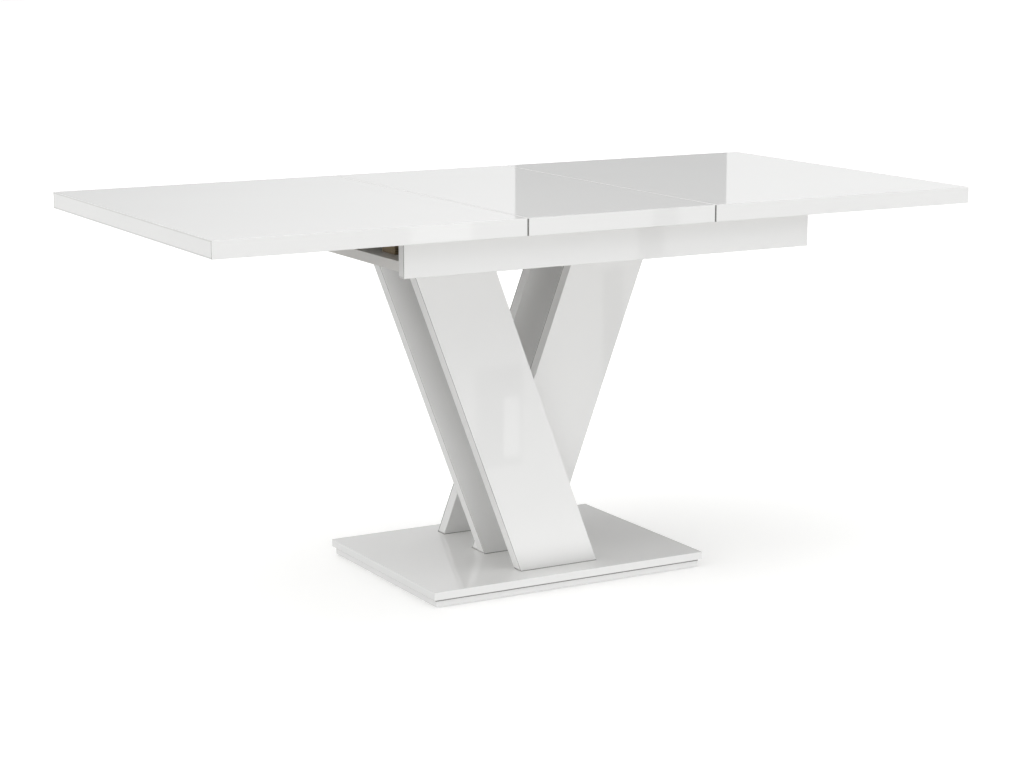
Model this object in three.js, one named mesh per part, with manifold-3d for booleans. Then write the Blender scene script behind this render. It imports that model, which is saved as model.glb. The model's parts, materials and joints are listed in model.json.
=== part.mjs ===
// Extendable dining table, in millimetres, +Z up, origin on the floor under the middle of the table.
// +X runs along the table's length. The table is drawn extended, with its loose leaf in place.
//
// Two top halves ride on telescopic slides and close towards the middle. Between them sits a loose leaf,
// which is lifted out by hand and stored in the frame under the top. Four slanted boards carry the frame:
// the two on the -Y side lean to -X and the two on the +Y side lean to +X, all from the middle of the base.
import * as THREE from "three";
import { mergeVertices } from "three/addons/utils/BufferGeometryUtils.js";
import Module from "manifold-3d";

const wasm = await Module();
wasm.setup();

// ---- Driving dimensions ------------------------------------------------------------------------------

// Top
const TABLE_HEIGHT = 750;
const TOP_WIDTH = 800;
const TOP_THICKNESS = 32;
const HALF_LENGTH = 600;
const LEAF_LENGTH = 400;
const SEAM_GAP = 0.5;

// Dowel pins that line up the boards of the top
const DOWELS_PER_SEAM = 3;
const DOWEL_RADIUS = 5;
const DOWEL_LENGTH = 36;
const DOWEL_OUT = 15;
const DOWEL_CHAMFER = 1.5;
const DOWEL_PITCH = 270;

// Frame: a shallow box, open at both ends, that also stores the leaf
const APRON_INSET = 28;
const APRON_THICKNESS = 22;
const APRON_BELOW_FLOOR = 10.5;
const APRON_TOP_CLEARANCE = 2;
const FRAME_FLOOR_THICKNESS = 18;
const STORAGE_CLEARANCE = 3;
const STORAGE_END_MARGIN = 31.5;
const BATTEN_WIDTH = 50;
const BATTEN_SET_BACK = 30;
const LEAF_SIDE_CLEARANCE = 25;

// Angle brackets that tie the aprons to the frame's floor
const BRACKET_LEG = 25;
const BRACKET_LENGTH = 40;
const BRACKET_SHEET = 2;
const BRACKET_FROM_END = 70;

// Telescopic slides, laid flat between the battens and the top
const SLIDE_HEIGHT = 12.5;
const SLIDE_WIDTH = 45;
const SLIDE_SHEET = 1.5;
const SLIDE_LIP = 3;
const BALL_GAP = 4;
const LIP_CLEARANCE = 1;
const RAIL_TOP_CLEARANCE = 2;
const FIXED_RAIL_LENGTH = 400;
const FIXED_RAIL_FROM_MIDDLE = 25;
const MIDDLE_RAIL_LENGTH = 300;
const INNER_RAIL_LENGTH = 300;
const INNER_RAIL_OUTBOARD = 75;

// Legs: four slanted boards
const LEG_THICKNESS = 28;
const LEG_WIDTH = 169;
const LEG_SPREAD = 240;
const LEG_OUTER_Y = 160;

// Base: two boards, the lower one set back all round
const BASE_LENGTH = 600;
const BASE_WIDTH = 450;
const BASE_BOARD_THICKNESS = 15;
const BASE_STEP = 6;

// Glides under the base
const GLIDE_HEIGHT = 2;
const GLIDE_RADIUS = 16;
const GLIDE_PIN_RADIUS = 1.5;
const GLIDE_PIN_LENGTH = 10;
const GLIDE_INSET = 40;

// Countersunk screws that hold the legs
const SCREW_LENGTH = 60;
const SCREW_SHANK_RADIUS = 3;
const SCREW_HEAD_RADIUS = 6;
const SCREW_CONE_HEIGHT = 4;
const SCREW_POINT = 4;
const SCREW_RECESS = 0.6;
const SCREW_SPACING = 90;

// Clearance between a piece and the hole that it sits in
const HOLE_CLEARANCE = 0.3;
// How far a cutter starts outside the face that it drills
const CUTTER_OVERRUN = 1;
const ROUND_SIDES = 16;
const SCREW_SIDES = 12;

// ---- Heights and places worked out from them ---------------------------------------------------------

const TOP_UNDERSIDE = TABLE_HEIGHT - TOP_THICKNESS;
const FRAME_FLOOR_TOP = TOP_UNDERSIDE - TOP_THICKNESS - STORAGE_CLEARANCE;
const FRAME_FLOOR_BOTTOM = FRAME_FLOOR_TOP - FRAME_FLOOR_THICKNESS;
const SLIDE_BOTTOM = TOP_UNDERSIDE - SLIDE_HEIGHT;
const LOWER_BOARD_TOP = GLIDE_HEIGHT + BASE_BOARD_THICKNESS;
const BASE_TOP = LOWER_BOARD_TOP + BASE_BOARD_THICKNESS;

// The stored leaf lies turned a quarter turn, so the frame is as long as the top is wide, and a little more.
const FRAME_LENGTH = TOP_WIDTH + 2 * STORAGE_END_MARGIN;
const APRON_OUTER_Y = TOP_WIDTH / 2 - APRON_INSET;
const APRON_INNER_Y = APRON_OUTER_Y - APRON_THICKNESS;
const BATTEN_Y = LEAF_LENGTH / 2 + LEAF_SIDE_CLEARANCE + BATTEN_WIDTH / 2;

const SEAM_X = LEAF_LENGTH / 2;
const DOWEL_Z = TABLE_HEIGHT - TOP_THICKNESS / 2;
const MIDDLE_RAIL_END = SEAM_X + FIXED_RAIL_FROM_MIDDLE;

// ---- Finishes ----------------------------------------------------------------------------------------

const finish = (color, roughness, metalness) =>
  new THREE.MeshStandardMaterial({ color, roughness, metalness });

const glossWhite = () => finish("#ebebea", 0.08, 0);
const edgeWhite = () => finish("#e4e4e2", 0.12, 0);
const pine = () => finish("#c9a877", 0.6, 0);
const beech = () => finish("#d3ab7c", 0.55, 0);
const zincSteel = () => finish("#b9bcc0", 0.35, 0.9);
const whiteNylon = () => finish("#dcdad4", 0.5, 0);

// ---- Small tools -------------------------------------------------------------------------------------

const table = new THREE.Group();

function addMesh(name, geometry, material) {
  const mesh = new THREE.Mesh(geometry, material);
  mesh.name = name;
  table.add(mesh);
}

// A box between two corners, in table coordinates.
function boxGeometry(low, high) {
  const size = high.map((value, axis) => value - low[axis]);
  const geometry = new THREE.BoxGeometry(...size);
  geometry.translate(...low.map((value, axis) => value + size[axis] / 2));
  return geometry;
}

// A flat outline drawn in two coordinates and pushed along the third.
function extruded(points, depth) {
  const outline = new THREE.Shape(points.map(([a, b]) => new THREE.Vector2(a, b)));
  return new THREE.ExtrudeGeometry(outline, { depth, bevelEnabled: false });
}

// An outline of (y, z) points, extruded along X between two places.
function alongX(points, xLow, xHigh) {
  const geometry = extruded(points, xHigh - xLow);
  const turn = new THREE.Matrix4().makeBasis(
    new THREE.Vector3(0, 1, 0),
    new THREE.Vector3(0, 0, 1),
    new THREE.Vector3(1, 0, 0),
  );
  geometry.applyMatrix4(turn);
  geometry.translate(xLow, 0, 0);
  return geometry;
}

// A turned piece: (radius, height) points from axis to axis, standing along +Z.
function turned(profile, sides) {
  const points = profile.map(([radius, height]) => new THREE.Vector2(radius, height));
  const geometry = new THREE.LatheGeometry(points, sides);
  geometry.rotateX(Math.PI / 2);
  return geometry;
}

const MERGE_DISTANCE = 0.0001;

function toSolid(geometry) {
  const bare = geometry.clone();
  bare.deleteAttribute("normal");
  bare.deleteAttribute("uv");
  const merged = mergeVertices(bare, MERGE_DISTANCE);
  return new wasm.Manifold(
    new wasm.Mesh({
      numProp: 3,
      vertProperties: new Float32Array(merged.attributes.position.array),
      triVerts: new Uint32Array(merged.index.array),
    }),
  );
}

function fromSolid(solid) {
  const mesh = solid.getMesh();
  const geometry = new THREE.BufferGeometry();
  geometry.setAttribute("position", new THREE.BufferAttribute(mesh.vertProperties, 3));
  geometry.setIndex(new THREE.BufferAttribute(mesh.triVerts, 1));
  geometry.computeVertexNormals();
  return geometry;
}

// A board with the given cutters taken out of it.
function drilled(geometry, cutters) {
  const solid = cutters.reduce((left, cutter) => left.subtract(toSolid(cutter)), toSolid(geometry));
  return fromSolid(solid);
}

// ---- Screws ------------------------------------------------------------------------------------------

// A screw standing on its head, with its point up.
function screwGeometry() {
  return turned(
    [
      [0, 0],
      [SCREW_HEAD_RADIUS, 0],
      [SCREW_SHANK_RADIUS, SCREW_CONE_HEIGHT],
      [SCREW_SHANK_RADIUS, SCREW_LENGTH - SCREW_POINT],
      [0, SCREW_LENGTH],
    ],
    SCREW_SIDES,
  );
}

// The hole that it sits in, a little larger all round and open through the recess under its head.
function screwHoleGeometry() {
  const shank = SCREW_SHANK_RADIUS + HOLE_CLEARANCE;
  const head = SCREW_HEAD_RADIUS + HOLE_CLEARANCE;
  const mouth = -SCREW_RECESS - HOLE_CLEARANCE;
  const tip = SCREW_LENGTH + HOLE_CLEARANCE;
  return turned(
    [
      [0, mouth],
      [head, mouth],
      [head, HOLE_CLEARANCE],
      [shank, SCREW_CONE_HEIGHT + HOLE_CLEARANCE],
      [shank, tip - SCREW_POINT],
      [0, tip],
    ],
    SCREW_SIDES,
  );
}

// Places a screw, or the hole for it, with its head at (x, y, z), pointing up or down.
function placeScrew(geometry, { x, y, z, points }) {
  if (points === "down") {
    geometry.rotateX(Math.PI);
  }
  geometry.translate(x, y, z);
  return geometry;
}

// ---- Legs --------------------------------------------------------------------------------------------

// Each leg leans from the middle of the base to one end of the frame: lean is -1 or +1 along X.
const LEGS = [
  { name: "leg_front_outer", y: -LEG_OUTER_Y, lean: -1 },
  { name: "leg_front_inner", y: -LEG_THICKNESS / 2, lean: -1 },
  { name: "leg_rear_inner", y: LEG_THICKNESS / 2, lean: 1 },
  { name: "leg_rear_outer", y: LEG_OUTER_Y, lean: 1 },
];
const SCREW_SIGNS = [-1, 1];

const footScrews = LEGS.flatMap((leg) =>
  SCREW_SIGNS.map((sign) => ({
    name: `${leg.name}_foot_screw_${sign < 0 ? 1 : 2}`,
    x: (sign * SCREW_SPACING) / 2,
    y: leg.y,
    z: GLIDE_HEIGHT + SCREW_RECESS,
    points: "up",
  })),
);

const headScrews = LEGS.flatMap((leg) =>
  SCREW_SIGNS.map((sign) => ({
    name: `${leg.name}_head_screw_${sign < 0 ? 1 : 2}`,
    x: leg.lean * LEG_SPREAD + (sign * SCREW_SPACING) / 2,
    y: leg.y,
    z: FRAME_FLOOR_TOP - SCREW_RECESS,
    points: "down",
  })),
);

const screwHole = (place) => placeScrew(screwHoleGeometry(), place);

for (const leg of LEGS) {
  const foot = LEG_WIDTH / 2;
  const head = leg.lean * LEG_SPREAD;
  // Outline in (x, z), extruded along -Y once it is stood up.
  const board = extruded(
    [
      [-foot, BASE_TOP],
      [foot, BASE_TOP],
      [head + foot, FRAME_FLOOR_BOTTOM],
      [head - foot, FRAME_FLOOR_BOTTOM],
    ],
    LEG_THICKNESS,
  );
  board.rotateX(Math.PI / 2);
  board.translate(0, leg.y + LEG_THICKNESS / 2, 0);
  const own = [...footScrews, ...headScrews].filter((screw) => screw.name.startsWith(leg.name));
  addMesh(leg.name, drilled(board, own.map(screwHole)), glossWhite());
}

for (const screw of [...footScrews, ...headScrews]) {
  addMesh(screw.name, placeScrew(screwGeometry(), screw), zincSteel());
}

// ---- Base --------------------------------------------------------------------------------------------

const GLIDE_X = BASE_LENGTH / 2 - BASE_STEP - GLIDE_INSET;
const GLIDE_Y = BASE_WIDTH / 2 - BASE_STEP - GLIDE_INSET;

const glides = [-1, 1].flatMap((sx) =>
  [-1, 1].map((sy) => ({
    name: `floor_glide_${sy < 0 ? "front" : "rear"}_${sx < 0 ? "left" : "right"}`,
    x: sx * GLIDE_X,
    y: sy * GLIDE_Y,
  })),
);

// A flat nylon disc with a pin that is pressed into the base.
function glideGeometry() {
  const rim = GLIDE_HEIGHT / 2;
  return turned(
    [
      [0, 0],
      [GLIDE_RADIUS - rim, 0],
      [GLIDE_RADIUS, rim],
      [GLIDE_RADIUS, GLIDE_HEIGHT],
      [GLIDE_PIN_RADIUS, GLIDE_HEIGHT],
      [GLIDE_PIN_RADIUS, GLIDE_HEIGHT + GLIDE_PIN_LENGTH],
      [0, GLIDE_HEIGHT + GLIDE_PIN_LENGTH],
    ],
    ROUND_SIDES,
  );
}

function glidePinHole({ x, y }) {
  const radius = GLIDE_PIN_RADIUS + HOLE_CLEARANCE;
  const start = GLIDE_HEIGHT - CUTTER_OVERRUN;
  const top = GLIDE_HEIGHT + GLIDE_PIN_LENGTH + HOLE_CLEARANCE;
  const hole = turned(
    [
      [0, start],
      [radius, start],
      [radius, top],
      [0, top],
    ],
    ROUND_SIDES,
  );
  hole.translate(x, y, 0);
  return hole;
}

function baseBoard(name, inset, bottom, cutters) {
  const halfLength = BASE_LENGTH / 2 - inset;
  const halfWidth = BASE_WIDTH / 2 - inset;
  const board = boxGeometry(
    [-halfLength, -halfWidth, bottom],
    [halfLength, halfWidth, bottom + BASE_BOARD_THICKNESS],
  );
  addMesh(name, drilled(board, cutters), glossWhite());
}

const footHoles = footScrews.map(screwHole);
baseBoard("base_lower_board", BASE_STEP, GLIDE_HEIGHT, [...footHoles, ...glides.map(glidePinHole)]);
baseBoard("base_upper_board", 0, LOWER_BOARD_TOP, footHoles);

for (const glide of glides) {
  const geometry = glideGeometry();
  geometry.translate(glide.x, glide.y, 0);
  addMesh(glide.name, geometry, whiteNylon());
}

// ---- Frame -------------------------------------------------------------------------------------------

const frameFloor = boxGeometry(
  [-FRAME_LENGTH / 2, -APRON_INNER_Y, FRAME_FLOOR_BOTTOM],
  [FRAME_LENGTH / 2, APRON_INNER_Y, FRAME_FLOOR_TOP],
);
addMesh("frame_floor_panel", drilled(frameFloor, headScrews.map(screwHole)), edgeWhite());

for (const [side, sign] of [["front", -1], ["rear", 1]]) {
  const faces = [sign * APRON_INNER_Y, sign * APRON_OUTER_Y].sort((a, b) => a - b);
  const apron = boxGeometry(
    [-FRAME_LENGTH / 2, faces[0], FRAME_FLOOR_BOTTOM - APRON_BELOW_FLOOR],
    [FRAME_LENGTH / 2, faces[1], TOP_UNDERSIDE - APRON_TOP_CLEARANCE],
  );
  addMesh(`${side}_apron`, apron, glossWhite());

  const battenEnd = FRAME_LENGTH / 2 - BATTEN_SET_BACK;
  const batten = boxGeometry(
    [-battenEnd, sign * BATTEN_Y - BATTEN_WIDTH / 2, FRAME_FLOOR_TOP],
    [battenEnd, sign * BATTEN_Y + BATTEN_WIDTH / 2, SLIDE_BOTTOM],
  );
  addMesh(`${side}_slide_batten`, batten, pine());

  // The bracket's corner sits where the apron meets the frame's floor.
  for (const [end, direction] of [["left", -1], ["right", 1]]) {
    const leg = BRACKET_LEG;
    const sheet = BRACKET_SHEET;
    const outline = [
      [0, 0],
      [leg, 0],
      [leg, sheet],
      [sheet, sheet],
      [sheet, leg],
      [0, leg],
    ].map(([y, z]) => [sign * (APRON_INNER_Y - y), FRAME_FLOOR_TOP + z]);
    const middle = direction * (FRAME_LENGTH / 2 - BRACKET_FROM_END);
    const bracket = alongX(outline, middle - BRACKET_LENGTH / 2, middle + BRACKET_LENGTH / 2);
    addMesh(`${side}_${end}_bracket`, bracket, zincSteel());
  }
}

// ---- Slides ------------------------------------------------------------------------------------------

const FIXED_WALL = SLIDE_WIDTH / 2;
const MIDDLE_WALL = FIXED_WALL - SLIDE_SHEET - BALL_GAP;
const INNER_WALL = MIDDLE_WALL - SLIDE_SHEET - BALL_GAP;
const CHANNEL_TOP = SLIDE_HEIGHT - RAIL_TOP_CLEARANCE;
const MIDDLE_FLOOR = SLIDE_SHEET + LIP_CLEARANCE;

// A channel with its lips turned in, open at the top. All sizes are half widths and heights.
function channelOutline(wall, floor, top, lip) {
  const inside = wall - SLIDE_SHEET;
  const right = [
    [wall, floor],
    [wall, top],
    [inside - lip, top],
    [inside - lip, top - SLIDE_SHEET],
    [inside, top - SLIDE_SHEET],
    [inside, floor + SLIDE_SHEET],
  ];
  const left = right.map(([y, z]) => [-y, z]).reverse();
  return [...right, ...left];
}

// The inner rail is the same sheet turned over, with its back against the top.
function innerOutline() {
  const inside = INNER_WALL - SLIDE_SHEET;
  const foot = MIDDLE_FLOOR + SLIDE_SHEET + LIP_CLEARANCE;
  const back = SLIDE_HEIGHT - SLIDE_SHEET;
  return [
    [-INNER_WALL, foot],
    [-inside, foot],
    [-inside, back],
    [inside, back],
    [inside, foot],
    [INNER_WALL, foot],
    [INNER_WALL, SLIDE_HEIGHT],
    [-INNER_WALL, SLIDE_HEIGHT],
  ];
}

// Each rail's two ends on the +X side, counted from the middle of the table.
const RAILS = [
  {
    name: "fixed_rail",
    outline: channelOutline(FIXED_WALL, 0, CHANNEL_TOP, SLIDE_LIP),
    from: FIXED_RAIL_FROM_MIDDLE,
    length: FIXED_RAIL_LENGTH,
  },
  {
    name: "middle_rail",
    outline: channelOutline(MIDDLE_WALL, MIDDLE_FLOOR, CHANNEL_TOP, SLIDE_LIP),
    from: MIDDLE_RAIL_END,
    length: MIDDLE_RAIL_LENGTH,
  },
  {
    name: "inner_rail",
    outline: innerOutline(),
    from: MIDDLE_RAIL_END + INNER_RAIL_OUTBOARD,
    length: INNER_RAIL_LENGTH,
  },
];

for (const [end, direction] of [["left", -1], ["right", 1]]) {
  for (const [side, sign] of [["front", -1], ["rear", 1]]) {
    for (const rail of RAILS) {
      const ends = [direction * rail.from, direction * (rail.from + rail.length)];
      const geometry = alongX(rail.outline, Math.min(...ends), Math.max(...ends));
      geometry.translate(0, sign * BATTEN_Y, SLIDE_BOTTOM);
      addMesh(`${end}_${side}_${rail.name}`, geometry, zincSteel());
    }
  }
}

// ---- Top ---------------------------------------------------------------------------------------------

const dowelRows = Array.from(
  { length: DOWELS_PER_SEAM },
  (_, i) => (i - (DOWELS_PER_SEAM - 1) / 2) * DOWEL_PITCH,
);

// A beech pin with chamfered ends, lying along +X from x = 0.
function dowelGeometry(grow = 0) {
  const radius = DOWEL_RADIUS + grow;
  const geometry = turned(
    [
      [0, -grow],
      [radius - DOWEL_CHAMFER, -grow],
      [radius, DOWEL_CHAMFER - grow],
      [radius, DOWEL_LENGTH - DOWEL_CHAMFER + grow],
      [radius - DOWEL_CHAMFER, DOWEL_LENGTH + grow],
      [0, DOWEL_LENGTH + grow],
    ],
    ROUND_SIDES,
  );
  geometry.rotateY(Math.PI / 2);
  return geometry;
}

// Each pin is glued into the board on the left of its seam and sticks out to the right.
function pinAt(seamX, y, grow = 0) {
  const geometry = dowelGeometry(grow);
  geometry.translate(seamX + DOWEL_OUT - DOWEL_LENGTH, y, DOWEL_Z);
  return geometry;
}

function topBoard(name, xLow, xHigh, seams) {
  const board = boxGeometry(
    [xLow, -TOP_WIDTH / 2, TOP_UNDERSIDE],
    [xHigh, TOP_WIDTH / 2, TABLE_HEIGHT],
  );
  const holes = seams.flatMap((seam) => dowelRows.map((y) => pinAt(seam, y, HOLE_CLEARANCE)));
  addMesh(name, drilled(board, holes), glossWhite());
}

const TOP_END = SEAM_X + HALF_LENGTH;
topBoard("left_top", -TOP_END, -SEAM_X - SEAM_GAP / 2, [-SEAM_X]);
topBoard("leaf", -SEAM_X + SEAM_GAP / 2, SEAM_X - SEAM_GAP / 2, [-SEAM_X, SEAM_X]);
topBoard("right_top", SEAM_X + SEAM_GAP / 2, TOP_END, [SEAM_X]);

for (const [board, seam] of [["left_top", -SEAM_X], ["leaf", SEAM_X]]) {
  dowelRows.forEach((y, i) => addMesh(`${board}_dowel_${i + 1}`, pinAt(seam, y), beech()));
}

export default table;
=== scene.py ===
import json
from math import cos, pi, radians, sin

import bpy
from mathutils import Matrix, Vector


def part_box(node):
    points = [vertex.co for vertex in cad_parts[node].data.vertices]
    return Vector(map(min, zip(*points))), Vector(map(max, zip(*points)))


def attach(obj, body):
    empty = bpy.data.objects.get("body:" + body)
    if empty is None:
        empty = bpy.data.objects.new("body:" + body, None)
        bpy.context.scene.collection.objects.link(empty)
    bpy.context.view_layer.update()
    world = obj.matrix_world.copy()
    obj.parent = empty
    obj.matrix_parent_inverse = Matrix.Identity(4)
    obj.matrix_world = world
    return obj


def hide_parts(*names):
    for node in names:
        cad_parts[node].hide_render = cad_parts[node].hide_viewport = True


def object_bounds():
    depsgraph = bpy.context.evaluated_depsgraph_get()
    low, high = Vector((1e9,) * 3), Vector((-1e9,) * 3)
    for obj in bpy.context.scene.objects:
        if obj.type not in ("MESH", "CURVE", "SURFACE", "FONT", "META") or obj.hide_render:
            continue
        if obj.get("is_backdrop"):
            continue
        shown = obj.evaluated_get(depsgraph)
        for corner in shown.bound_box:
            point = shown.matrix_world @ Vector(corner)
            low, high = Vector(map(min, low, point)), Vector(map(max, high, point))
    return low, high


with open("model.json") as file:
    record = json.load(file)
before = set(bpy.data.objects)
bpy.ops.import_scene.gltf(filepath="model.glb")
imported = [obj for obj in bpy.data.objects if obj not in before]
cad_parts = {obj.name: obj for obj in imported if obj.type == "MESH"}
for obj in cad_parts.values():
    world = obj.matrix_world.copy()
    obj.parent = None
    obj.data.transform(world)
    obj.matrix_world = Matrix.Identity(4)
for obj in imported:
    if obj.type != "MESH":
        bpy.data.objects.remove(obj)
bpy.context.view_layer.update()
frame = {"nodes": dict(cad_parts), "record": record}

BODY_OF = {
    node: body for body, nodes in frame["record"]["behaviour"]["bodies"].items() for node in nodes
}
SLOT_OF = {part["node"]: part["material_slot"] for part in frame["record"]["subparts"]}

# ---- Camera ------------------------------------------------------------------------------------------

CAMERA_PLACE = (-2.2732, -4.0256, 1.2803)
CAMERA_YAW = 29.372
CAMERA_PITCH = -11.229
CAMERA_LENS = 83.56

camera_data = bpy.data.cameras.new("camera")
camera_data.sensor_width = 36.0
camera_data.lens = CAMERA_LENS
camera_data.clip_end = 100.0
camera = bpy.data.objects.new("camera", camera_data)
camera.location = CAMERA_PLACE
camera.rotation_euler = (radians(90.0 + CAMERA_PITCH), 0.0, -radians(CAMERA_YAW))
bpy.context.scene.collection.objects.link(camera)
bpy.context.scene.camera = camera
bpy.context.scene.view_settings.view_transform = "Standard"

# ---- Node helpers ------------------------------------------------------------------------------------

MM = 0.001
# The Mix node's sockets share their names, so they are picked by number: its two plain values, its two
# colours, and what comes out of either pair.
VALUE_A = 2
VALUE_B = 3
COLOUR_A = 6
COLOUR_B = 7
MIXED_VALUE = 0
MIXED_COLOUR = 2


def linear(hex_colour):
    """An sRGB hex colour as linear RGBA."""
    channels = [int(hex_colour[i : i + 2], 16) / 255 for i in (1, 3, 5)]
    return [c / 12.92 if c <= 0.04045 else ((c + 0.055) / 1.055) ** 2.4 for c in channels] + [1.0]


def add_node(tree, kind, inputs=None, **settings):
    """Adds a shader node and gives its outputs. Each input is a plain value or another node's output."""
    made = tree.nodes.new("ShaderNode" + kind)
    for field, value in settings.items():
        setattr(made, field, value)
    for socket, value in (inputs or {}).items():
        if isinstance(value, bpy.types.NodeSocket):
            tree.links.new(value, made.inputs[socket])
        else:
            made.inputs[socket].default_value = value
    return made.outputs


def new_tree(name):
    """A new material without nodes, and its node tree."""
    material = bpy.data.materials.new(name)
    material.use_nodes = True
    material.node_tree.nodes.clear()
    return material, material.node_tree


# ---- Materials ---------------------------------------------------------------------------------------
#
# Object coordinates are metres in the table's own frame, because every CAD node's origin is the frame's
# origin. A noise pattern's scale is 1 over the size of its patches. A wave pattern's diagonal bands lie
# WAVE_BAND over its scale apart.

EDGE_JOINT_INSET = 2.0 * MM
EDGE_JOINT_REACH = 1.0 * MM
LEVEL_JOINT_SHARE = 0.35
SEAM_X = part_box("leaf")[1][0]
SEAM_SHADOW_REACH = 1.6 * MM
SEAM_ARRIS_REACH = 2.2 * MM
SEAM_ARRIS_ROUGHNESS = 0.40
UNDERSIDE_ROUGHNESS = 0.42
BOARD_ARRIS = 1.0 * MM
FACING = 0.9
GLOSS_ROUGHNESS = (0.025, 0.045)
TONE_PATCH = 400 * MM
RIPPLE_LENGTH = 71 * MM
HAZE_PATCH = 17 * MM
MELAMINE_PATCH = 200 * MM
PRESS_PEBBLE = 1.4 * MM
WAVE_BAND = 0.2 * pi
RINGS_DRAWN_OUT = 0.06
FIBRE_WIDTH = 1.1 * MM
FIBRE_SHARE = 0.58
FIBRE_SHADE = 0.25
STREAK_WIDTH = 1.1 * MM
STREAK_LENGTH = 125 * MM
ZINC_CLOUD = 17 * MM
NYLON_PATCH = 25 * MM
NYLON_GRAIN = 1.1 * MM


def high_gloss_lacquer(name, node, edge_band=False, seams=False, satin_underside=False, lines=()):
    """White lacquer polished to a mirror: reflections stay readable, with a slow ripple of the board
    under them. An edge band shows its joint as a thin line round each end face. At a seam the board's
    arris has a duller polish and a faint grey tint, a painted shade for the seam's groove, and a dark
    painted shadow lies in the gap in the front and back edges. Each line is a height above the lowest
    point and a reach: a thin painted shadow where the board meets another one."""
    material, tree = new_tree(name)
    low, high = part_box(node)
    place = add_node(tree, "TexCoord")["Object"]
    x, y, z = add_node(tree, "SeparateXYZ", {0: place})
    normal = add_node(tree, "NewGeometry")["Normal"]
    facing_x, facing_y, facing_z = add_node(tree, "SeparateXYZ", {0: normal})
    from_top = add_node(tree, "Math", {0: high[2], 1: z}, operation="SUBTRACT")[0]
    from_bottom = add_node(tree, "Math", {0: z, 1: low[2]}, operation="SUBTRACT")[0]

    # Where the finish differs, with the colour or the roughness that it has there.
    tints = []
    satins = []
    if edge_band:
        along_x = add_node(tree, "Math", {0: facing_x}, operation="ABSOLUTE")[0]
        on_end = add_node(tree, "Math", {0: along_x, 1: FACING}, operation="GREATER_THAN")[0]
        half_width = max(abs(low[1]), abs(high[1]))
        off_centre = add_node(tree, "Math", {0: y}, operation="ABSOLUTE")[0]
        from_side = add_node(tree, "Math", {0: half_width, 1: off_centre}, operation="SUBTRACT")[0]
        near = {0: from_side, 1: EDGE_JOINT_INSET, 2: EDGE_JOINT_REACH}
        upright = add_node(tree, "Math", near, operation="COMPARE")[0]
        from_edge = add_node(tree, "Math", {0: from_top, 1: from_bottom}, operation="MINIMUM")[0]
        near = {0: from_edge, 1: EDGE_JOINT_INSET, 2: EDGE_JOINT_REACH}
        level = add_node(tree, "Math", near, operation="COMPARE")[0]
        faint = add_node(tree, "Math", {0: level, 1: LEVEL_JOINT_SHARE}, operation="MULTIPLY")[0]
        joint = add_node(tree, "Math", {0: upright, 1: faint}, operation="MAXIMUM")[0]
        end_joint = add_node(tree, "Math", {0: on_end, 1: joint}, operation="MULTIPLY")[0]
        tints.append((end_joint, "#9b9b98"))
    # Each line is a thin painted shadow where the board meets another one.
    for height, reach in lines:
        near = {0: from_bottom, 1: height, 2: reach}
        tints.append((add_node(tree, "Math", near, operation="COMPARE")[0], "#8c8c89"))
    if seams:
        # Beside the seam the arris gets a duller polish and a faint grey tint: the tint is a painted
        # shade for the seam's groove.
        off_centre = add_node(tree, "Math", {0: x}, operation="ABSOLUTE")[0]
        near = {0: off_centre, 1: SEAM_X, 2: SEAM_ARRIS_REACH}
        arris = add_node(tree, "Math", near, operation="COMPARE")[0]
        tints.append((arris, "#dededc"))
        satins.append((arris, SEAM_ARRIS_ROUGHNESS))
        # A dark painted shadow for the seam's gap, on the front and back faces below the arris.
        near = {0: off_centre, 1: SEAM_X, 2: SEAM_SHADOW_REACH}
        gap = add_node(tree, "Math", near, operation="COMPARE")[0]
        along_y = add_node(tree, "Math", {0: facing_y}, operation="ABSOLUTE")[0]
        on_side = add_node(tree, "Math", {0: along_y, 1: FACING}, operation="GREATER_THAN")[0]
        side_gap = add_node(tree, "Math", {0: on_side, 1: gap}, operation="MULTIPLY")[0]
        below = add_node(tree, "Math", {0: from_top, 1: BOARD_ARRIS}, operation="GREATER_THAN")[0]
        shadow = add_node(tree, "Math", {0: side_gap, 1: below}, operation="MULTIPLY")[0]
        tints.append((shadow, "#2b2a29"))
    if satin_underside:
        faces_down = add_node(tree, "Math", {0: facing_z, 1: -FACING}, operation="LESS_THAN")[0]
        tints.append((faces_down, "#dddbd6"))
        satins.append((faces_down, UNDERSIDE_ROUGHNESS))

    patches = add_node(tree, "TexNoise", {"Vector": place, "Scale": 1 / TONE_PATCH})["Fac"]
    mixed = {0: patches, COLOUR_A: linear("#e7e7e6"), COLOUR_B: linear("#ebebea")}
    colour = add_node(tree, "Mix", mixed, data_type="RGBA")[MIXED_COLOUR]
    for where, tint in tints:
        mixed = {0: where, COLOUR_A: colour, COLOUR_B: linear(tint)}
        colour = add_node(tree, "Mix", mixed, data_type="RGBA")[MIXED_COLOUR]
    haze = add_node(tree, "TexNoise", {"Vector": place, "Scale": 1 / HAZE_PATCH})["Fac"]
    mixed = {0: haze, VALUE_A: GLOSS_ROUGHNESS[0], VALUE_B: GLOSS_ROUGHNESS[1]}
    roughness = add_node(tree, "Mix", mixed)[MIXED_VALUE]
    for where, satin in satins:
        mixed = {0: where, VALUE_A: roughness, VALUE_B: satin}
        roughness = add_node(tree, "Mix", mixed)[MIXED_VALUE]
    waves = {"Vector": place, "Scale": 1 / RIPPLE_LENGTH, "Detail": 1.0}
    relief = {"Height": add_node(tree, "TexNoise", waves)["Fac"], "Strength": 0.01, "Distance": 1 * MM}
    finish = {
        "Base Color": colour,
        "Roughness": roughness,
        "IOR": 1.5,
        "Normal": add_node(tree, "Bump", relief)["Normal"],
    }
    shader = add_node(tree, "BsdfPrincipled", finish)["BSDF"]
    add_node(tree, "OutputMaterial", {"Surface": shader})
    return material


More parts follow.
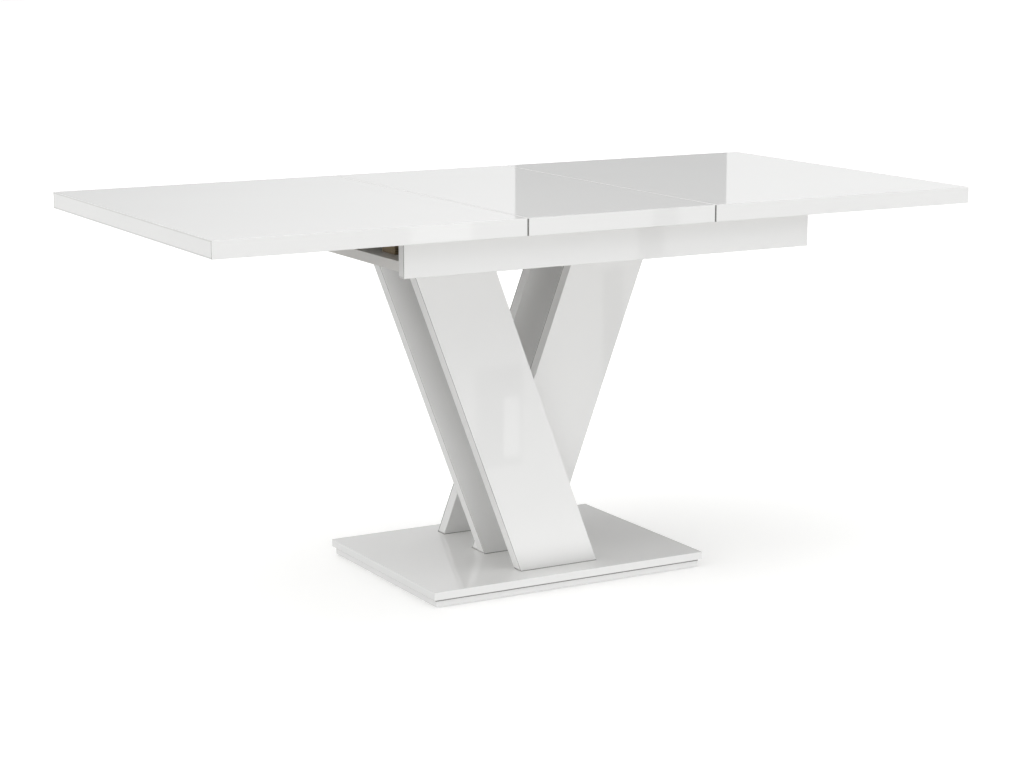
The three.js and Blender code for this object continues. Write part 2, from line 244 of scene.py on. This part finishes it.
def melamine():
    """White melamine-faced board: satin, with the pebbled press texture drawn coarser than real so
    that it shows at this size."""
    material, tree = new_tree("satin_white_melamine")
    place = add_node(tree, "TexCoord")["Object"]
    patches = add_node(tree, "TexNoise", {"Vector": place, "Scale": 1 / MELAMINE_PATCH})["Fac"]
    mixed = {0: patches, COLOUR_A: linear("#dfddd9"), COLOUR_B: linear("#e6e4e1")}
    pebbles = {"Vector": place, "Scale": 1 / PRESS_PEBBLE, "Detail": 1.0}
    pebble = add_node(tree, "TexNoise", pebbles)["Fac"]
    relief = {"Height": pebble, "Strength": 0.25, "Distance": 0.4 * MM}
    finish = {
        "Base Color": add_node(tree, "Mix", mixed, data_type="RGBA")[MIXED_COLOUR],
        "Roughness": add_node(tree, "Mix", {0: pebble, VALUE_A: 0.34, VALUE_B: 0.46})[MIXED_VALUE],
        "Normal": add_node(tree, "Bump", relief)["Normal"],
    }
    shader = add_node(tree, "BsdfPrincipled", finish)["BSDF"]
    add_node(tree, "OutputMaterial", {"Surface": shader})
    return material


def planed_wood(name, light, dark, ring_width, fibre_length, roughness):
    """Straight planed timber along X: growth rings as bands on the long faces, with darker fibres
    drawn coarser than real so that they show."""
    material, tree = new_tree(name)
    place = add_node(tree, "TexCoord")["Object"]
    drawn_out = {0: place, 1: (RINGS_DRAWN_OUT, 1.0, 1.0)}
    bands = {
        "Vector": add_node(tree, "VectorMath", drawn_out, operation="MULTIPLY")["Vector"],
        "Scale": WAVE_BAND / ring_width,
        "Distortion": 3.0,
        "Detail": 2.0,
        "Detail Scale": 0.15,
    }
    rings = add_node(tree, "TexWave", bands, bands_direction="DIAGONAL")["Fac"]
    late_wood = add_node(tree, "Math", {0: rings, 1: 2.0}, operation="POWER")[0]
    mixed = {0: late_wood, COLOUR_A: linear(light), COLOUR_B: linear(dark)}
    ringed = add_node(tree, "Mix", mixed, data_type="RGBA")[MIXED_COLOUR]
    drawn_out = {0: place, 1: (FIBRE_WIDTH / fibre_length, 1.0, 1.0)}
    along = add_node(tree, "VectorMath", drawn_out, operation="MULTIPLY")["Vector"]
    fibres = add_node(tree, "TexNoise", {"Vector": along, "Scale": 1 / FIBRE_WIDTH})["Fac"]
    in_fibre = add_node(tree, "Math", {0: fibres, 1: FIBRE_SHARE}, operation="GREATER_THAN")[0]
    shade = add_node(tree, "Math", {0: in_fibre, 1: FIBRE_SHADE}, operation="MULTIPLY")[0]
    mixed = {0: shade, COLOUR_A: ringed, COLOUR_B: linear(dark)}
    relief = {"Height": fibres, "Strength": 0.3, "Distance": 0.3 * MM}
    finish = {
        "Base Color": add_node(tree, "Mix", mixed, data_type="RGBA")[MIXED_COLOUR],
        "Roughness": roughness,
        "Normal": add_node(tree, "Bump", relief)["Normal"],
    }
    shader = add_node(tree, "BsdfPrincipled", finish)["BSDF"]
    add_node(tree, "OutputMaterial", {"Surface": shader})
    return material


def zinc_plate():
    """Rolled steel plated with zinc: cool grey metal with faint cloudy patches, and streaks along the
    rolling direction drawn coarser than real so that they show."""
    material, tree = new_tree("zinc_plated_steel")
    place = add_node(tree, "TexCoord")["Object"]
    cloudy = {"Vector": place, "Scale": 1 / ZINC_CLOUD, "Detail": 3.0}
    clouds = add_node(tree, "TexNoise", cloudy)["Fac"]
    mixed = {0: clouds, COLOUR_A: linear("#a7abaf"), COLOUR_B: linear("#c8cbce")}
    drawn_out = {0: place, 1: (STREAK_WIDTH / STREAK_LENGTH, 1.0, 1.0)}
    along = add_node(tree, "VectorMath", drawn_out, operation="MULTIPLY")["Vector"]
    rolled = {"Vector": along, "Scale": 1 / STREAK_WIDTH, "Detail": 3.0}
    streaks = add_node(tree, "TexNoise", rolled)["Fac"]
    relief = {"Height": streaks, "Strength": 0.15, "Distance": 0.2 * MM}
    finish = {
        "Base Color": add_node(tree, "Mix", mixed, data_type="RGBA")[MIXED_COLOUR],
        "Metallic": 1.0,
        "Roughness": add_node(tree, "Mix", {0: streaks, VALUE_A: 0.22, VALUE_B: 0.42})[MIXED_VALUE],
        "Normal": add_node(tree, "Bump", relief)["Normal"],
    }
    shader = add_node(tree, "BsdfPrincipled", finish)["BSDF"]
    add_node(tree, "OutputMaterial", {"Surface": shader})
    return material


def moulded_nylon():
    """Glide nylon: milky off-white, a little light goes into it, with a moulded grain drawn coarser
    than real so that it shows."""
    material, tree = new_tree("moulded_nylon")
    place = add_node(tree, "TexCoord")["Object"]
    patches = add_node(tree, "TexNoise", {"Vector": place, "Scale": 1 / NYLON_PATCH})["Fac"]
    mixed = {0: patches, COLOUR_A: linear("#d8d5cd"), COLOUR_B: linear("#e2e0d9")}
    grainy = {"Vector": place, "Scale": 1 / NYLON_GRAIN, "Detail": 1.0}
    grain = add_node(tree, "TexNoise", grainy)["Fac"]
    relief = {"Height": grain, "Strength": 0.2, "Distance": 0.2 * MM}
    finish = {
        "Base Color": add_node(tree, "Mix", mixed, data_type="RGBA")[MIXED_COLOUR],
        "Roughness": add_node(tree, "Mix", {0: grain, VALUE_A: 0.42, VALUE_B: 0.55})[MIXED_VALUE],
        "Subsurface Weight": 0.15,
        "Subsurface Scale": 2 * MM,
        "Normal": add_node(tree, "Bump", relief)["Normal"],
    }
    shader = add_node(tree, "BsdfPrincipled", finish)["BSDF"]
    add_node(tree, "OutputMaterial", {"Surface": shader})
    return material


TOP_BOARDS = ("left_top", "leaf", "right_top")
APRONS = ("front_apron", "rear_apron")
GLOSS = "gloss_white_lacquer"
LEGS = ("leg_front_outer", "leg_front_inner", "leg_rear_inner", "leg_rear_outer")
# Where a shadow line lies: its height above the piece's lowest point, and its reach.
LEG_FOOT_LINE = (0.0, 1.2 * MM)
UNDER_OVERHANG_LINE = (15 * MM, 4 * MM)
MATERIALS = {
    "melamine_panel": melamine(),
    # The battens' pine is coloured darker and greyer than planed pine: a painted shade for the dark slot
    # they sit in under the top.
    "pine_batten": planed_wood("planed_pine", "#a39074", "#7c6a50", 4.5 * MM, 30 * MM, 0.6),
    "beech_dowel": planed_wood("compressed_beech", "#d6b083", "#b98a5c", 1.5 * MM, 8 * MM, 0.5),
    "zinc_plated_steel": zinc_plate(),
    "nylon_glide": moulded_nylon(),
}


def dress(node, material):
    mesh = frame["nodes"][node].data
    mesh.materials.clear()
    mesh.materials.append(material)


for node, slot in SLOT_OF.items():
    if slot != GLOSS:
        dress(node, MATERIALS[slot])
top_lacquer = high_gloss_lacquer(
    "lacquered_top_board", "leaf", edge_band=True, seams=True, satin_underside=True
)
apron_lacquer = high_gloss_lacquer("lacquered_apron", "front_apron", edge_band=True)
for node in TOP_BOARDS:
    dress(node, top_lacquer)
for node in APRONS:
    dress(node, apron_lacquer)
for node in LEGS:
    lacquer = high_gloss_lacquer("lacquered_" + node, node, edge_band=True, lines=[LEG_FOOT_LINE])
    dress(node, lacquer)
dress("base_upper_board", high_gloss_lacquer("lacquered_base", "base_upper_board"))
lower_board = high_gloss_lacquer(
    "lacquered_lower_base", "base_lower_board", lines=[UNDER_OVERHANG_LINE]
)
dress("base_lower_board", lower_board)

# ---- Rounded arrises ---------------------------------------------------------------------------------

SHEET_ARRIS = 0.3 * MM
WOOD_ARRIS = 0.8 * MM


def round_arrises(obj, radius, segments):
    weld = obj.modifiers.new("weld", "WELD")
    weld.merge_threshold = 0.01 * MM
    merge = obj.modifiers.new("merge_flat_faces", "DECIMATE")
    merge.decimate_type = "DISSOLVE"
    merge.angle_limit = radians(1.0)
    bevel = obj.modifiers.new("arris", "BEVEL")
    bevel.width = radius
    bevel.segments = segments
    bevel.limit_method = "ANGLE"
    bevel.angle_limit = radians(40.0)
    obj.modifiers.new("flat_faces_stay_flat", "WEIGHTED_NORMAL")


for node, slot in SLOT_OF.items():
    if slot in (GLOSS, "melamine_panel"):
        round_arrises(frame["nodes"][node], BOARD_ARRIS, 3)
    elif slot == "pine_batten":
        round_arrises(frame["nodes"][node], WOOD_ARRIS, 2)
    elif node.endswith(("_rail", "_bracket")):
        round_arrises(frame["nodes"][node], SHEET_ARRIS, 1)

# ---- Small turned and moulded pieces -----------------------------------------------------------------
#
# Every one is a stack of rings with the same number of points, closed at both ends. A ring is drawn
# in its own frame, whose Z axis points out of the head or along the pin.

TURNED_SIDES = 24


def circle(radius, height, sides=TURNED_SIDES):
    steps = [2 * pi * step / sides for step in range(sides)]
    return [(radius * cos(angle), radius * sin(angle), height) for angle in steps]


def cross(arm, half_width, height):
    """A cross-shaped ring with a point for each of the circle's 24: a screwdriver recess."""
    quarter = [
        (arm, 0.0),
        (arm, half_width),
        ((arm + half_width) / 2, half_width),
        (half_width, half_width),
        (half_width, (arm + half_width) / 2),
        (half_width, arm),
    ]
    points = []
    for turn in range(4):
        c, s = cos(turn * pi / 2), sin(turn * pi / 2)
        points += [(c * u - s * v, s * u + c * v, height) for u, v in quarter]
    return points


def fluted(radius, depth, height):
    """A ring whose every third point lies in a flute."""
    radii = [radius - depth if step % 3 == 0 else radius for step in range(TURNED_SIDES)]
    return [(r * x, r * y, height) for r, (x, y, _) in zip(radii, circle(1.0, 0.0))]


def stack(rings, place, out):
    """Vertices and faces of one closed stack of rings at a place, with its Z axis turned to out."""
    turn = Vector((0, 0, 1)).rotation_difference(Vector(out))
    place = Vector(place)
    sides = len(rings[0])
    vertices = [place + turn @ Vector(point) for ring in rings for point in ring]
    faces = [tuple(reversed(range(sides)))]
    for level in range(len(rings) - 1):
        a, b = level * sides, (level + 1) * sides
        for side in range(sides):
            after = (side + 1) % sides
            faces.append((a + side, a + after, b + after, b + side))
    faces.append(tuple(range(len(vertices) - sides, len(vertices))))
    return vertices, faces


def add_piece(name, parts, body, slot):
    """One new piece made of several stacks, riding on a body and finished as a slot."""
    vertices, faces = [], []
    for part_vertices, part_faces in parts:
        start = len(vertices)
        vertices += part_vertices
        faces += [tuple(start + index for index in face) for face in part_faces]
    mesh = bpy.data.meshes.new(name)
    mesh.from_pydata(vertices, [], faces)
    mesh.materials.append(MATERIALS[slot])
    obj = bpy.data.objects.new(name, mesh)
    bpy.context.scene.collection.objects.link(obj)
    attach(obj, body)
    return obj


def middle_of(low, high):
    return [(a + b) / 2 for a, b in zip(low, high)]


# The long screws through the base and the frame floor: a countersunk head with a cross recess, and a
# threaded shank whose pitch is drawn coarser than real.
HEAD_RADIUS = 6 * MM
HEAD_CONE = 4 * MM
SHANK_RADIUS = 3 * MM
THREAD_ROOT = 2.3 * MM
THREAD_PITCH = 3 * MM
RECESS_DEPTH = 2 * MM
RECESS_ARM = 3.4 * MM
RECESS_HALF_WIDTH = 0.7 * MM
RECESS_TAPER = 0.6
POINT_LENGTH = 4 * MM
POINT_RADIUS = 0.3 * MM
HEAD_LAND = 0.4 * MM


def screw_rings(length):
    """From the tip up to the bottom of the recess, with the head's face at height 0."""
    rings = [circle(POINT_RADIUS, -length)]
    height = -length + POINT_LENGTH
    while height < -HEAD_CONE - THREAD_PITCH:
        rings.append(circle(THREAD_ROOT, height))
        rings.append(circle(SHANK_RADIUS, height + THREAD_PITCH / 2))
        height += THREAD_PITCH
    rings.append(circle(SHANK_RADIUS, -HEAD_CONE))
    rings.append(circle(HEAD_RADIUS, -HEAD_LAND))
    rings.append(circle(HEAD_RADIUS - HEAD_LAND, 0.0))
    rings.append(cross(RECESS_ARM, RECESS_HALF_WIDTH, 0.0))
    rings.append(cross(RECESS_ARM * RECESS_TAPER, RECESS_HALF_WIDTH * RECESS_TAPER, -RECESS_DEPTH))
    return rings


for node in [name for name in SLOT_OF if "_screw_" in name]:
    low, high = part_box(node)
    x, y, _ = middle_of(low, high)
    faces_down = "_foot_" in node
    head = (x, y, low[2] if faces_down else high[2])
    out = (0, 0, -1 if faces_down else 1)
    screw = add_piece(
        node.replace("_screw_", "_cross_head_screw_"),
        [stack(screw_rings(high[2] - low[2]), head, out)],
        BODY_OF[node],
        SLOT_OF[node],
    )
    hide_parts(node)

# The seam dowels: compressed beech with straight flutes and chamfered ends.
FLUTE_DEPTH = 0.4 * MM
DOWEL_CHAMFER = 1.5 * MM

for node in [name for name in SLOT_OF if "_dowel_" in name]:
    low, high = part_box(node)
    radius = (high[1] - low[1]) / 2
    length = high[0] - low[0]
    rings = [
        circle(radius - DOWEL_CHAMFER, 0.0),
        fluted(radius, FLUTE_DEPTH, DOWEL_CHAMFER),
        fluted(radius, FLUTE_DEPTH, length - DOWEL_CHAMFER),
        circle(radius - DOWEL_CHAMFER, length),
    ]
    _, y, z = middle_of(low, high)
    dowel = add_piece(
        node.replace("_dowel_", "_fluted_dowel_"),
        [stack(rings, (low[0], y, z), (1, 0, 0))],
        BODY_OF[node],
        SLOT_OF[node],
    )
    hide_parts(node)

# The nail-on glides: a dished nylon disc with a rounded rim, and its pin with a pointed end.
GLIDE_PIN_RADIUS = 1.5 * MM
GLIDE_DISC = 2 * MM
GLIDE_DISH_SHARE = 0.5
GLIDE_DISH_DEPTH = 0.4 * MM
GLIDE_RIM = 1 * MM

for node in [name for name in SLOT_OF if name.startswith("floor_glide_")]:
    low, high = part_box(node)
    x, y, _ = middle_of(low, high)
    radius = (high[0] - low[0]) / 2
    pin = high[2] - low[2]
    rings = [
        circle(radius * GLIDE_DISH_SHARE - GLIDE_RIM, GLIDE_DISH_DEPTH),
        circle(radius * GLIDE_DISH_SHARE, 0.0),
        circle(radius - GLIDE_RIM, 0.0),
        circle(radius - GLIDE_RIM * 0.3, GLIDE_RIM * 0.3),
        circle(radius, GLIDE_RIM),
        circle(radius, GLIDE_DISC),
        circle(GLIDE_PIN_RADIUS, GLIDE_DISC),
        circle(GLIDE_PIN_RADIUS, pin - GLIDE_PIN_RADIUS),
        circle(GLIDE_PIN_RADIUS * 0.4, pin),
    ]
    glide = add_piece(
        node.replace("floor_glide_", "nail_glide_"),
        [stack(rings, (x, y, low[2]), (0, 0, 1))],
        BODY_OF[node],
        SLOT_OF[node],
    )
    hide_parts(node)

# Ball cages: between each pair of rails a thin strip on either side holds a row of steel balls.
BALL_RADIUS = 1.7 * MM
BALL_PITCH = 12 * MM
BALLS_IN_ROW = 9
CAGE_HALF_THICKNESS = 0.4 * MM
CAGE_HALF_HEIGHT = 2.2 * MM
BALL_RINGS = 6
BALL_SIDES = 10


def ball(place):
    rings = []
    for step in range(1, BALL_RINGS):
        angle = pi * step / BALL_RINGS
        rings.append(circle(BALL_RADIUS * sin(angle), -BALL_RADIUS * cos(angle), BALL_SIDES))
    return stack(rings, place, (0, 0, 1))


def strip(start, end, y, z):
    corners = (
        (-CAGE_HALF_HEIGHT, -CAGE_HALF_THICKNESS),
        (CAGE_HALF_HEIGHT, -CAGE_HALF_THICKNESS),
        (CAGE_HALF_HEIGHT, CAGE_HALF_THICKNESS),
        (-CAGE_HALF_HEIGHT, CAGE_HALF_THICKNESS),
    )
    rings = [[(u, v, along) for u, v in corners] for along in (0.0, end - start)]
    return stack(rings, (start, y, z), (1, 0, 0))


# For each gap: distance of the balls from the rail's middle line, their height above the fixed
# rail's underside, and where the row starts, counted from the middle of the table.
BALL_ROWS = {
    "outer": (19 * MM, 5.25 * MM, 236 * MM),
    "inner": (13.5 * MM, 7 * MM, 320 * MM),
}
for end, direction in (("left", -1), ("right", 1)):
    for side in ("front", "rear"):
        low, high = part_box(f"{end}_{side}_fixed_rail")
        _, y, _ = middle_of(low, high)
        for row, (offset, lift, start) in BALL_ROWS.items():
            parts = []
            length = BALL_PITCH * BALLS_IN_ROW
            ends = sorted((direction * start, direction * (start + length)))
            for sign in (-1, 1):
                place_y = y + sign * offset
                parts.append(strip(*ends, place_y, low[2] + lift))
                for index in range(BALLS_IN_ROW):
                    place_x = direction * (start + BALL_PITCH * (index + 0.5))
                    parts.append(ball((place_x, place_y, low[2] + lift)))
            add_piece(
                f"{end}_{side}_{row}_ball_cage", parts, f"{end}_runner", "zinc_plated_steel"
            )

# Pan-head screws: three in each inner rail, seen from below, and two in each leg of the brackets.
PAN_RADIUS = 3.2 * MM
PAN_HEIGHT = 1.8 * MM


def pan_head(place, out):
    rings = [
        circle(PAN_RADIUS, 0.0),
        circle(PAN_RADIUS, PAN_HEIGHT * 0.45),
        circle(PAN_RADIUS * 0.8, PAN_HEIGHT * 0.9),
        circle(PAN_RADIUS * 0.6, PAN_HEIGHT),
        cross(PAN_RADIUS * 0.5, PAN_RADIUS * 0.13, PAN_HEIGHT),
        cross(PAN_RADIUS * 0.3, PAN_RADIUS * 0.1, PAN_HEIGHT * 0.35),
    ]
    return stack(rings, place, out)


RAIL_BACK_SHEET = 1.5 * MM
RAIL_SCREW_SHARES = (0.12, 0.5, 0.93)
for end in ("left", "right"):
    for side in ("front", "rear"):
        low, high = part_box(f"{end}_{side}_inner_rail")
        _, y, _ = middle_of(low, high)
        parts = []
        for share in RAIL_SCREW_SHARES:
            inboard, outboard = (high[0], low[0]) if end == "left" else (low[0], high[0])
            place_x = inboard + share * (outboard - inboard)
            parts.append(pan_head((place_x, y, high[2] - RAIL_BACK_SHEET), (0, 0, -1)))
        add_piece(f"{end}_{side}_rail_screws", parts, f"{end}_top", "zinc_plated_steel")

BRACKET_SHEET = 2 * MM
BRACKET_SCREW_SHARES = (0.25, 0.75)
for node in [name for name in SLOT_OF if name.endswith("_bracket")]:
    low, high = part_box(node)
    _, y, z = middle_of(low, high)
    inward = 1 if y < 0 else -1
    wall = low[1] + BRACKET_SHEET if inward > 0 else high[1] - BRACKET_SHEET
    parts = []
    for share in BRACKET_SCREW_SHARES:
        place_x = low[0] + share * (high[0] - low[0])
        parts.append(pan_head((place_x, y, low[2] + BRACKET_SHEET), (0, 0, 1)))
        parts.append(pan_head((place_x, wall, z), (0, inward, 0)))
    add_piece(node + "_screws", parts, BODY_OF[node], "zinc_plated_steel")

# ---- Floor, light and what the gloss reflects --------------------------------------------------------

FLOOR_SIZE = 60.0
FLOOR_GLOW = 0.25
FLOOR_MOTTLE = 330 * MM


def flat_card(name, corners, material):
    mesh = bpy.data.meshes.new(name)
    mesh.from_pydata(corners, [], [(0, 1, 2, 3)])
    mesh.materials.append(material)
    obj = bpy.data.objects.new(name, mesh)
    bpy.context.scene.collection.objects.link(obj)
    obj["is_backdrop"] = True
    return obj


def studio_floor():
    """Matt white studio paper with a faint mottle. It glows a little for the camera alone, so that it
    reads white without lighting the table."""
    material, tree = new_tree("studio_paper")
    place = add_node(tree, "TexCoord")["Object"]
    mottle = add_node(tree, "TexNoise", {"Vector": place, "Scale": 1 / FLOOR_MOTTLE})["Fac"]
    mixed = {0: mottle, COLOUR_A: linear("#f2f2f1"), COLOUR_B: linear("#f6f6f5")}
    seen = add_node(tree, "LightPath")["Is Camera Ray"]
    finish = {
        "Base Color": add_node(tree, "Mix", mixed, data_type="RGBA")[MIXED_COLOUR],
        "Roughness": 0.9,
        "Emission Color": linear("#ffffff"),
        "Emission Strength": add_node(tree, "Math", {0: seen, 1: FLOOR_GLOW}, operation="MULTIPLY")[0],
    }
    shader = add_node(tree, "BsdfPrincipled", finish)["BSDF"]
    add_node(tree, "OutputMaterial", {"Surface": shader})
    return material


half = FLOOR_SIZE / 2
floor = flat_card(
    "floor",
    [(-half, -half, 0.0), (half, -half, 0.0), (half, half, 0.0), (-half, half, 0.0)],
    studio_floor(),
)
floor.visible_diffuse = False
floor.visible_shadow = False


def reflected_only(name, left, right, heights, strength):
    """A standing card between two (x, y) points that only mirrors see. It neither lights nor shades
    the table."""
    material, tree = new_tree(name)
    mirrored = add_node(tree, "LightPath")["Is Glossy Ray"]
    level = add_node(tree, "Math", {0: mirrored, 1: strength}, operation="MULTIPLY")[0]
    glow = add_node(tree, "Emission", {"Strength": level})["Emission"]
    add_node(tree, "OutputMaterial", {"Surface": glow})
    low, high = heights
    card = flat_card(
        name, [(*left, low), (*right, low), (*right, high), (*left, high)], material
    )
    card.visible_camera = False
    card.visible_diffuse = False
    card.visible_shadow = False


def from_camera(azimuth, distance):
    """The (x, y) point at an azimuth, turned from +Y towards +X, and a level distance away."""
    x, y, _ = CAMERA_PLACE
    return (x + distance * sin(radians(azimuth)), y + distance * cos(radians(azimuth)))


# A grey wall panel behind the table: the top mirrors it as a grey band.
PANEL_DISTANCE = 9.0
reflected_only(
    "grey_panel",
    from_camera(29.45, PANEL_DISTANCE),
    from_camera(34.54, PANEL_DISTANCE),
    (0.3, 4.0),
    0.40,
)

# Cards in front of the table, for the faint upright shapes in its front faces. Each row is where the
# card starts and ends along X, its lowest and highest point, and its strength.
CARDS_Y = -1.0
FRONT_CARDS = {
    "dark_stand": (0.450, 0.514, 0.50, 0.67, 0.0),
    "bright_slit": (-0.128, 0.013, 0.625, 0.70, 2.2),
    "dark_window": (0.265, 0.388, 0.023, 0.258, 0.25),
    "window_pane": (0.335, 0.378, 0.045, 0.185, 1.6),
    "dark_edge": (0.817, 0.877, 0.02, 0.40, 0.1),
}
PANE_IN_FRONT = 5 * MM
for name, (start, end, low, high, strength) in FRONT_CARDS.items():
    place_y = CARDS_Y + (PANE_IN_FRONT if name == "window_pane" else 0.0)
    reflected_only(name, (start, place_y), (end, place_y), (low, high), strength)

# The dome is dim all round. Soft lights sit on it, each given by its azimuth, its elevation, the angles
# at which it fades out and is full, and its strength. One is overhead, one at the left, and weak ones
# at the back right, the back and the front right. The strongest lies at the front below the horizon,
# where a white floor throws light back.
DOME = 0.2
BACKDROP = (1.0, 1.0, 1.0, 1.0)
SOFT_LIGHTS = (
    (0, 90, 65, 30, 1.5),
    (-90, 18, 42, 10, 2.75),
    (135, 18, 42, 10, 0.85),
    (180, -35, 42, 10, 0.9),
    (35, 18, 42, 10, 0.75),
    (0, -22, 42, 10, 2.8),
)

world = bpy.data.worlds.new("studio")
world.use_nodes = True
tree = world.node_tree
tree.nodes.clear()
direction = add_node(tree, "TexCoord")["Generated"]
level = DOME
for azimuth, elevation, edge, full, strength in SOFT_LIGHTS:
    across = cos(radians(elevation))
    aim = (
        sin(radians(azimuth)) * across,
        -cos(radians(azimuth)) * across,
        sin(radians(elevation)),
    )
    near = add_node(tree, "VectorMath", {0: direction, 1: aim}, operation="DOT_PRODUCT")["Value"]
    fade = {
        "Value": near,
        "From Min": cos(radians(edge)),
        "From Max": cos(radians(full)),
        "To Max": strength,
    }
    glow = add_node(tree, "MapRange", fade, interpolation_type="SMOOTHSTEP")["Result"]
    level = add_node(tree, "Math", {0: glow, 1: level}, operation="ADD")[0]
studio = add_node(tree, "Background", {"Strength": level})["Background"]
white = add_node(tree, "Background", {"Color": BACKDROP})["Background"]
seen = add_node(tree, "LightPath")["Is Camera Ray"]
mixed = add_node(tree, "MixShader", {0: seen, 1: studio, 2: white})["Shader"]
add_node(tree, "OutputWorld", {"Surface": mixed})
bpy.context.scene.world = world

low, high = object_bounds()
